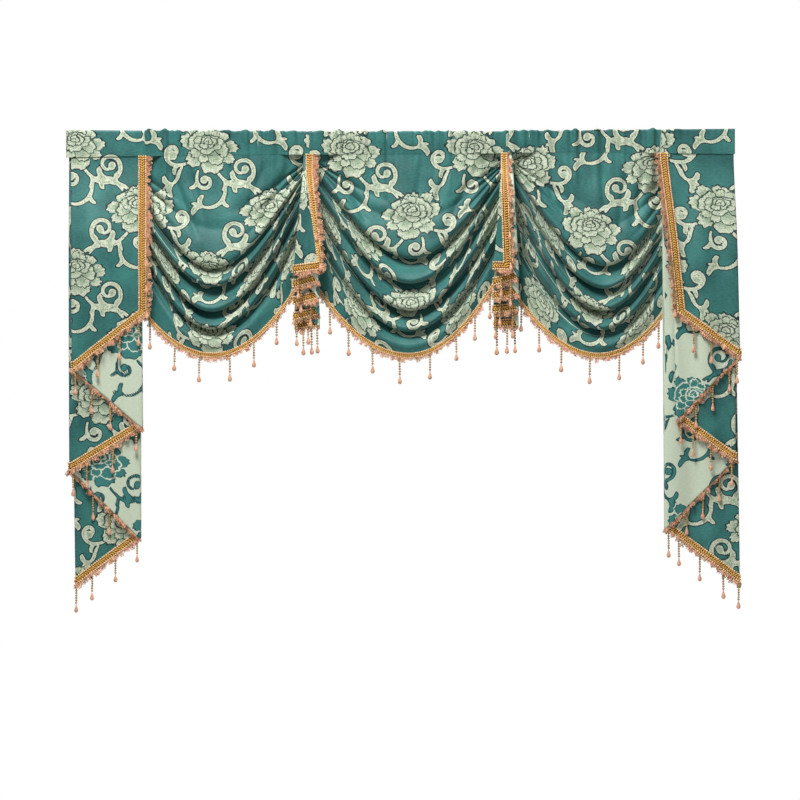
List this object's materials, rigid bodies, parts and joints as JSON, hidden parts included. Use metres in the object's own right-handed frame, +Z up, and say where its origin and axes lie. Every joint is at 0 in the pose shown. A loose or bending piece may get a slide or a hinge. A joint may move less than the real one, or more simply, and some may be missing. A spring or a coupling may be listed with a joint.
{
  "type": "swag valance curtain",
  "caption": "Window valance with a gathered heading, cowl-folded swags, zigzag cascade tails and small jabots, all edged with a braid that carries bead drops.",
  "frame": {"origin": "middle of the heading's top edge, which the valance hangs from", "axes": "+X along the heading towards the right of someone facing the front, +Z up; the front faces -Y"},
  "size_m": [2.0171, 0.1028, 1.4422],
  "materials": {
    "jacquard": "satin jacquard",
    "gold_braid": "woven braid with a loop fringe and bead drops"
  },
  "bodies": {
    "root": {"heading": "jacquard", "swag_left": "jacquard", "swag_centre": "jacquard", "swag_right": "jacquard", "tail_left": "jacquard", "tail_right": "jacquard", "jabot_left": "jacquard", "jabot_right": "jacquard", "braid_swag_left": "gold_braid", "braid_swag_centre": "gold_braid", "braid_swag_right": "gold_braid", "braid_tail_left": "gold_braid", "braid_tail_right": "gold_braid", "braid_jabot_left": "gold_braid", "braid_jabot_right": "gold_braid"}
  },
  "joints": []
}
